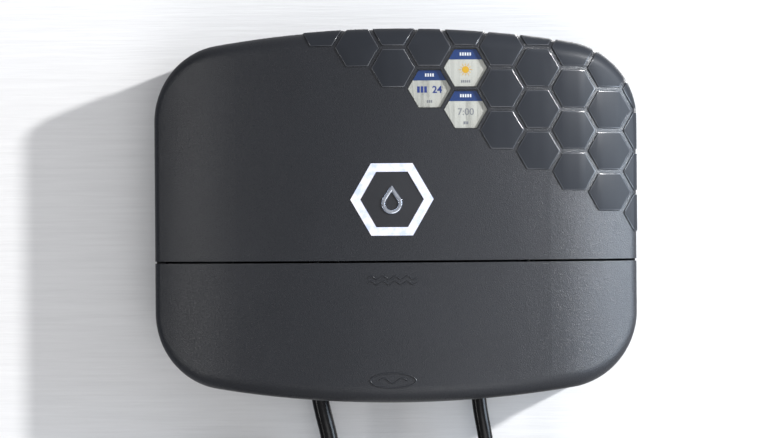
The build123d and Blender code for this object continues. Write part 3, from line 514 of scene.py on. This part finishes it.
def new_piece(name, bm, material, body):
    """Turns a finished bmesh into a piece that rides on a body."""
    mesh = bpy.data.meshes.new(name)
    bm.to_mesh(mesh)
    bm.free()
    mesh.materials.append(material)
    piece = bpy.data.objects.new(name, mesh)
    bpy.context.collection.objects.link(piece)
    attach(piece, body)
    return piece


def print_shapes(name, shapes, target, lift, material, body="case", thick=0.00004):
    """Flat outlines, in metres as (x, z), printed as a thin layer on a node's front."""
    tree = surface_below(target)
    bm = bmesh.new()
    for shape in shapes:
        bm.faces.new([bm.verts.new((x, 0, z)) for x, z in shape])
    bmesh.ops.triangulate(bm, faces=bm.faces[:])
    for _ in range(3):
        long_edges = [e for e in bm.edges if e.calc_length() > LONGEST_EDGE]
        if long_edges:
            bmesh.ops.subdivide_edges(bm, edges=long_edges, cuts=1)
            bmesh.ops.triangulate(bm, faces=bm.faces[:])
    for vert in bm.verts:
        vert.co = laid_on(tree, vert.co.x, vert.co.z, lift)
    bmesh.ops.recalc_face_normals(bm, faces=bm.faces[:])
    piece = new_piece(name, bm, material, body)
    solid = piece.modifiers.new("thickness", "SOLIDIFY")
    solid.thickness = thick
    solid.offset = 0
    return piece


def bar(x, z, width, height):
    """A rectangle's outline, about its middle."""
    left, right, foot, top = x - width / 2, x + width / 2, z - height / 2, z + height / 2
    return [(left, foot), (right, foot), (right, top), (left, top)]


def blocks(x, z, count, width, height, gap=BLOCK_GAP):
    """A word, as a row of plain blocks."""
    step = width + gap
    return [bar(x + (i - (count - 1) / 2) * step, z, width, height) for i in range(count)]


def disc(x, z, radius, count=28):
    """A circle's outline."""
    turn = 2 * math.pi / count
    return [(x + radius * math.cos(i * turn), z + radius * math.sin(i * turn)) for i in range(count)]


def figures(text, x, z, height, weight=0.0):
    """Outlines of figures as faces, centred on a place."""
    data = bpy.data.curves.new("figures", "FONT")
    data.body = text
    data.size = height / FIGURE_HEIGHT
    data.offset = weight
    data.resolution_u = 3
    data.align_x = "CENTER"
    holder = bpy.data.objects.new("figures", data)
    mesh = bpy.data.meshes.new_from_object(holder)
    middle = height / 2
    shapes = [[(x + mesh.vertices[i].co.x, z + mesh.vertices[i].co.y - middle) for i in face.vertices]
              for face in mesh.polygons]
    bpy.data.objects.remove(holder)
    return shapes


DISPLAYS = ("weather", "date", "time")
HEADING_BLOCKS = {"weather": 5, "date": 4, "time": 5}
HEADER_FOOT = 0.215
INK_LIFT, WORD_LIFT, BORDER_LIFT = 0.00006, 0.00016, 0.00014
BORDER_OUTSIDE, BORDER_INSIDE = 0.00005, 0.00045
FIGURES_TALL = 0.0036
SUN_BELOW_MIDDLE = 0.001
SUN_RADIUS, RAY_FOOT, LONG_RAY, SHORT_RAY = 0.0019, 0.0023, 0.0042, 0.0036
SUN_RAYS = 12
RAY_HALF_ANGLE = math.radians(6)
# A slight painted glow for the screen face, which brightens it.
FACE_PAINTED_GLOW = (0.66, 0.66, 0.60, 1)
FACE_PAINTED_GLOW_STRENGTH = 0.12


def hexagon_width(flats, z):
    """Half the width of a hexagon with its corners left and right, at a height from its middle."""
    return flats / math.sqrt(3) - abs(z) / math.sqrt(3)


def hexagon_gap_shade(x, z, flats):
    """The six strips of a hexagon's dark border: painted shade standing in for the gap round the screen."""
    corner = flats / math.sqrt(3)
    outer, inner = corner - BORDER_OUTSIDE, corner - BORDER_INSIDE
    strips = []
    for i in range(6):
        a, b = math.radians(60 * i), math.radians(60 * i + 60)
        strips.append([(x + outer * math.cos(a), z + outer * math.sin(a)),
                       (x + outer * math.cos(b), z + outer * math.sin(b)),
                       (x + inner * math.cos(b), z + inner * math.sin(b)),
                       (x + inner * math.cos(a), z + inner * math.sin(a))])
    return strips


def sun(x, z):
    """A disc with long and short rays."""
    shapes = [disc(x, z, SUN_RADIUS)]
    for i in range(SUN_RAYS):
        middle = math.radians(360 / SUN_RAYS * i)
        reach = LONG_RAY if i % 2 == 0 else SHORT_RAY
        corners = [(middle - RAY_HALF_ANGLE, RAY_FOOT), (middle, reach), (middle + RAY_HALF_ANGLE, RAY_FOOT)]
        shapes.append([(x + out * math.cos(angle), z + out * math.sin(angle)) for angle, out in corners])
    return shapes


def display(name, inks):
    """A small hexagonal screen: a dark border of painted shade where the gap round it is, a blue header, and
    what it shows.
    """
    panel = "display_panel_" + name
    low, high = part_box(panel)
    x, z = (low.x + high.x) / 2, (low.z + high.z) / 2
    flats = high.z - low.z
    top, foot = flats / 2 - 0.0001, flats * HEADER_FOOT

    def part(kind, shapes, ink, lift=INK_LIFT):
        print_shapes(f"{panel}_{kind}", shapes, panel, lift, inks[ink])

    foot_wide, top_wide = [hexagon_width(flats - 0.0002, h) for h in (foot, top)]
    header = [(x - foot_wide, z + foot), (x + foot_wide, z + foot),
              (x + top_wide, z + top), (x - top_wide, z + top)]
    part("header", [header], "blue")
    # The dark border is painted shade, in place of the shade in the gap round the screen.
    part("border", hexagon_gap_shade(x, z, flats), "black", BORDER_LIFT)
    heading = blocks(x, z + (foot + top) / 2, HEADING_BLOCKS[name], 0.0008, 0.0017, 0.0005)
    part("heading", heading, "white", WORD_LIFT)
    if name == "date":
        part("day", figures("24", x + 0.0041, z - 0.0004, FIGURES_TALL, 0.00012), "navy")
        part("month", blocks(x - 0.0040, z - 0.0004, 3, 0.0014, 0.0034, 0.0005), "navy")
        part("weekday", blocks(x, z - 0.0068, 3, 0.0007, 0.0015), "grey")
    elif name == "time":
        part("hour", figures("7:00", x, z - 0.0012, FIGURES_TALL, 0.00004), "grey")
        part("half", blocks(x, z - 0.0072, 2, 0.0011, 0.0015), "grey")
    else:
        part("sun", sun(x, z - SUN_BELOW_MIDDLE), "yellow")
        part("outlook", blocks(x, z - 0.0073, 5, 0.0007, 0.0014), "grey")


def ink(name, colour, glow=0.0):
    """Printed colour, which can carry a slight painted glow that brightens it."""
    material = surface(name, [c * 0.92 for c in colour], colour, (0.35, 0.45), 0.0006, 0.000002, 0.004)
    shader = material.node_tree.nodes["Principled BSDF"]
    shader.inputs["Emission Color"].default_value = (*colour, 1)
    shader.inputs["Emission Strength"].default_value = glow
    return material


def make_displays(made):
    inks = {
        # The blue header and white heading inks carry a slight painted glow that brightens them.
        "blue": ink("header_blue", (0.004, 0.030, 0.135), 0.12),
        "white": ink("heading_white", (0.62, 0.64, 0.67), 0.2),
        "navy": ink("figures_navy", (0.012, 0.035, 0.20)),
        "grey": ink("figures_grey", (0.19, 0.20, 0.22)),
        "yellow": ink("sun_yellow", (0.58, 0.33, 0.012)),
        # The black ink paints the shade of the gap round each screen.
        "black": ink("screen_gap_shade", (0.010, 0.010, 0.012)),
    }
    for name in DISPLAYS:
        display(name, inks)
    # The screen face gets a slight painted glow that brightens it.
    face = made["display_face"].node_tree.nodes["Principled BSDF"]
    face.inputs["Emission Color"].default_value = FACE_PAINTED_GLOW
    face.inputs["Emission Strength"].default_value = FACE_PAINTED_GLOW_STRENGTH


# ---------------------------------------------------------------- raised marks on the door
RIPPLE_Z, RIPPLE_APART = -0.0345, 0.0014
OVAL_Z, OVAL_WIDE, OVAL_TALL = -0.0882, 0.0122, 0.0040
OVAL_POINTS = 72


def ridge(name, lines, radius, sink, made):
    """Rounded ridges along lines given in metres as (x, z), part sunk into the door's face."""
    tree = surface_below("wiring_door")
    data = bpy.data.curves.new(name, "CURVE")
    data.dimensions = "3D"
    for line, closed in lines:
        spline = data.splines.new("POLY")
        spline.points.add(len(line) - 1)
        for point, (x, z) in zip(spline.points, line):
            point.co = (*laid_on(tree, x, z, -sink), 1)
        spline.use_cyclic_u = closed
    data.bevel_depth = radius
    data.bevel_resolution = 3
    data.use_fill_caps = True
    data.materials.append(made["cover_shell"])
    piece = bpy.data.objects.new(name, data)
    bpy.context.collection.objects.link(piece)
    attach(piece, "door")
    return piece


def wave_line(x, z, width, height, waves, count=60):
    """A line of even waves, about its middle."""
    line = []
    for i in range(count + 1):
        share = i / count
        line.append((x + (share - 0.5) * width, z + height / 2 * math.sin(2 * math.pi * waves * share)))
    return line


def door_marks(made):
    """Two plain moulded marks on the door: a band of ripples, and an oval with waves in it."""
    ripples = [(wave_line(0, RIPPLE_Z + shift, 0.026, 0.0018, 4), False)
               for shift in (-RIPPLE_APART, RIPPLE_APART)]
    ridge("door_ripple_mark", ripples, 0.00036, -0.00006, made)
    oval = []
    for i in range(OVAL_POINTS):
        angle = math.radians(360 / OVAL_POINTS * i)
        oval.append((OVAL_WIDE * math.cos(angle), OVAL_Z + OVAL_TALL * math.sin(angle)))
    lines = [(oval, True), (wave_line(0, OVAL_Z, 0.015, 0.0026, 1.5), False)]
    ridge("door_oval_mark", lines, 0.00042, -0.00004, made)


# ---------------------------------------------------------------- terminal numbers
STATIONS = 8
NUMBER_HEIGHT, NUMBER_ABOVE = 0.0026, 0.0021


def terminal_numbers():
    """A number above each lever, printed on the panel."""
    block_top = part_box("terminal_block")[1].z
    shapes = []
    for i in range(STATIONS):
        low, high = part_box(f"terminal_lever_{i + 1}")
        shapes += figures(str(i + 1), (low.x + high.x) / 2, block_top + NUMBER_ABOVE, NUMBER_HEIGHT, 0.00006)
    white = ink("print_white", (0.78, 0.78, 0.76))
    print_shapes("terminal_numbers", shapes, "terminal_panel", 0.00004, white)


# ---------------------------------------------------------------- plug
# Sections of the plug from its cord down, each as shares of its length, half width and half depth.
PLUG_NECK = [(0.0, 0.34, 0.40), (0.02, 0.35, 0.42), (0.26, 0.40, 0.48), (0.33, 0.62, 0.66),
             (0.38, 0.76, 0.78)]
PLUG_FACE = [(0.86, 0.96, 0.97), (0.90, 0.99, 0.99), (0.985, 0.99, 0.99), (1.0, 0.95, 0.95)]
GROOVES = 5
GROOVE_START, GROOVE_APART, GROOVE_WIDENS = 0.42, 0.085, 0.012
PLUG_SIDES = 40
PLUG_ROUNDNESS = 0.62


def plug_body(made):
    """The moulded plug: a neck, shoulders and a body with finger grooves."""
    low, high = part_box("power_plug")
    x, y = (low.x + high.x) / 2, (low.y + high.y) / 2
    tall = high.z - low.z
    wide, deep = (high.x - low.x) / 2, (high.y - low.y) / 2
    sections = list(PLUG_NECK)
    for i in range(GROOVES):
        at = GROOVE_START + GROOVE_APART * i
        grown = GROOVE_WIDENS * i
        sections += [(at, 0.86 + grown, 0.88 + grown), (at + 0.03, 0.80 + grown, 0.82 + grown),
                     (at + 0.055, 0.81 + grown, 0.83 + grown)]
    sections += PLUG_FACE
    bm = bmesh.new()
    rings = []
    for share, w, d in sections:
        ring = []
        for i in range(PLUG_SIDES):
            angle = 2 * math.pi * i / PLUG_SIDES
            c, s = math.cos(angle), math.sin(angle)
            across = wide * w * math.copysign(abs(c) ** PLUG_ROUNDNESS, c)
            forward = deep * d * math.copysign(abs(s) ** PLUG_ROUNDNESS, s)
            ring.append(bm.verts.new((x + across, y + forward, high.z - tall * share)))
        rings.append(ring)
    for a, b in zip(rings, rings[1:]):
        for i in range(PLUG_SIDES):
            j = (i + 1) % PLUG_SIDES
            bm.faces.new((a[i], a[j], b[j], b[i]))
    bm.faces.new(rings[0])
    bm.faces.new(rings[-1][::-1])
    bmesh.ops.recalc_face_normals(bm, faces=bm.faces[:])
    for face in bm.faces:
        face.smooth = len(face.verts) == 4
    piece = new_piece("plug_body", bm, made["plug_black"], "case")
    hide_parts("power_plug")
    return piece


# ---------------------------------------------------------------- softened edges on CAD nodes
WELD_WITHIN = 0.00025
SPLIT_ANGLE = 24


def soften(name, width, segments, angle=35):
    """Breaks a CAD node's sharp edges with a small bevel, and keeps the faces beside it crisp."""
    piece = NODES[name]
    mesh = piece.data
    if "custom_normal" in mesh.attributes:
        mesh.attributes.remove(mesh.attributes["custom_normal"])
    mesh.polygons.foreach_set("use_smooth", [True] * len(mesh.polygons))
    weld = piece.modifiers.new("weld", "WELD")
    weld.merge_threshold = WELD_WITHIN
    bevel = piece.modifiers.new("edges", "BEVEL")
    bevel.limit_method = "ANGLE"
    bevel.angle_limit = math.radians(angle)
    bevel.width = width
    bevel.segments = segments
    bevel.use_clamp_overlap = False
    split = piece.modifiers.new("crisp", "EDGE_SPLIT")
    split.split_angle = math.radians(SPLIT_ANGLE)


# ---------------------------------------------------------------- wall, floor and light
def clear_from_behind(tree, shader):
    """Lets a backdrop be seen through from behind, so that every side of the object can be looked at."""
    mix = node(tree, "ShaderNodeMixShader")
    tree.links.new(node(tree, "ShaderNodeNewGeometry").outputs["Backfacing"], mix.inputs["Fac"])
    tree.links.new(shader.outputs["BSDF"], mix.inputs[1])
    tree.links.new(node(tree, "ShaderNodeBsdfTransparent").outputs["BSDF"], mix.inputs[2])
    tree.links.new(mix.outputs["Shader"], tree.nodes["Material Output"].inputs["Surface"])


def backdrop_paint(name, dark, light, stretch, depth):
    """Pale matt paint with brush strokes."""
    material, tree, shader = shader_of(name)
    strokes = noise(tree, 0.0016, 4.0, 0.6, stretch)
    tree.links.new(ramp(tree, strokes, [(0.25, dark), (0.75, light)]), shader.inputs["Base Color"])
    shader.inputs["Roughness"].default_value = 0.75
    shader.inputs["Specular IOR Level"].default_value = 0.2
    bumped(tree, shader, strokes, depth, 0.35)
    clear_from_behind(tree, shader)
    return material


def sheet(name, corners, material):
    """One flat backdrop, which isn't part of the object."""
    mesh = bpy.data.meshes.new(name)
    mesh.from_pydata(corners, [], [(0, 1, 2, 3)])
    mesh.materials.append(material)
    piece = bpy.data.objects.new(name, mesh)
    bpy.context.collection.objects.link(piece)
    return piece


BACKDROP_REACH = 6.0
WALL_Y = 0.0008
FLOOR_Z, WALL_TOP = -1.2, 4.0


def wall_and_floor():
    """The wall behind the case and a floor, which neither shade nor light the object."""
    reach, y, low, high = BACKDROP_REACH, WALL_Y, FLOOR_Z, WALL_TOP
    brushed = backdrop_paint("wall_paint", (0.76, 0.76, 0.765), (0.83, 0.83, 0.835), (0.04, 1, 1), 0.0006)
    matt = backdrop_paint("floor_paint", (0.66, 0.66, 0.65), (0.72, 0.72, 0.71), (0.3, 0.3, 1), 0.0003)
    wall = sheet("wall", [(-reach, y, low), (reach, y, low), (reach, y, high), (-reach, y, high)], brushed)
    corners = [(-reach, -reach, low), (reach, -reach, low), (reach, reach, low), (-reach, reach, low)]
    floor = sheet("floor", corners, matt)
    for backdrop in (wall, floor):
        backdrop.visible_shadow = False
        backdrop.visible_diffuse = False
        backdrop.visible_glossy = False


def area_light(name, direction, distance, size, energy, colour=(1, 1, 1)):
    """A lamp some way off in a direction, turned to the middle of the case."""
    data = bpy.data.lights.new(name, "AREA")
    data.shape = "DISK"
    data.size = size
    data.energy = energy
    data.color = colour
    light = bpy.data.objects.new(name, data)
    bpy.context.collection.objects.link(light)
    way = Vector(direction).normalized()
    light.location = way * distance
    light.rotation_euler = way.to_track_quat("Z", "Y").to_euler()
    return light


SKY_FROM_LEFT = [(0.0, (0.06, 0.065, 0.08)), (0.5, (0.49, 0.495, 0.51)), (1.0, (0.58, 0.58, 0.60))]
STRIP_HEIGHT = 1.6


def make_light():
    """A small hard key light from the upper right, softer ones round it, and a sky darker on the left."""
    scene = bpy.context.scene
    scene.view_settings.view_transform = "Standard"
    world = bpy.data.worlds.new("studio")
    world.use_nodes = True
    tree = world.node_tree
    background = tree.nodes["Background"]
    split = node(tree, "ShaderNodeSeparateXYZ")
    tree.links.new(node(tree, "ShaderNodeTexCoord").outputs["Generated"], split.inputs["Vector"])
    across = spread(tree, split.outputs["X"], 0, 1, -1, 1)
    tree.links.new(ramp(tree, across, SKY_FROM_LEFT), background.inputs["Color"])
    scene.world = world
    area_light("key", (0.81, -0.46, 0.36), 2.5, 0.13, 80)
    area_light("fill", (0.25, -0.88, -0.46), 3.0, 2.0, 18)
    area_light("window", (0.975, -0.215, 0.06), 1.3, 0.8, 15, (0.72, 0.85, 1.0))
    area_light("rear", (0.35, 0.9, 0.45), 3.0, 1.5, 45)
    strip = area_light("strip", (-0.88, -0.47, 0.0), 1.6, 0.16, 6.5)
    strip.data.shape = "RECTANGLE"
    strip.data.size_y = STRIP_HEIGHT


# ---------------------------------------------------------------- everything together
def main():
    place_camera()
    made = make_materials()
    paint_all(made)
    power = make_cord("power_cord", POWER, made["cord_black"])
    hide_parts("power_cord_lead", "power_cord_coil", "power_cord_tail")
    plug = plug_body(made)
    valve = make_cord("valve_cable", VALVE, made["cord_black"])
    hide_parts("valve_cable_lead", "valve_cable_coil", "valve_cable_tail")
    make_displays(made)
    door_marks(made)
    terminal_numbers()
    tiles = NODES["tile_relief"]
    # The bevel faces take the lighter tile-edge material, a painted highlight along the tile edges.
    tiles.data.materials.append(made["tile_edge"])
    soften("tile_relief", 0.0005, 4)
    tiles.modifiers["edges"].material = 1
    soften("button_emblem", 0.0006, 4, 50)
    wall_and_floor()
    make_light()


main()
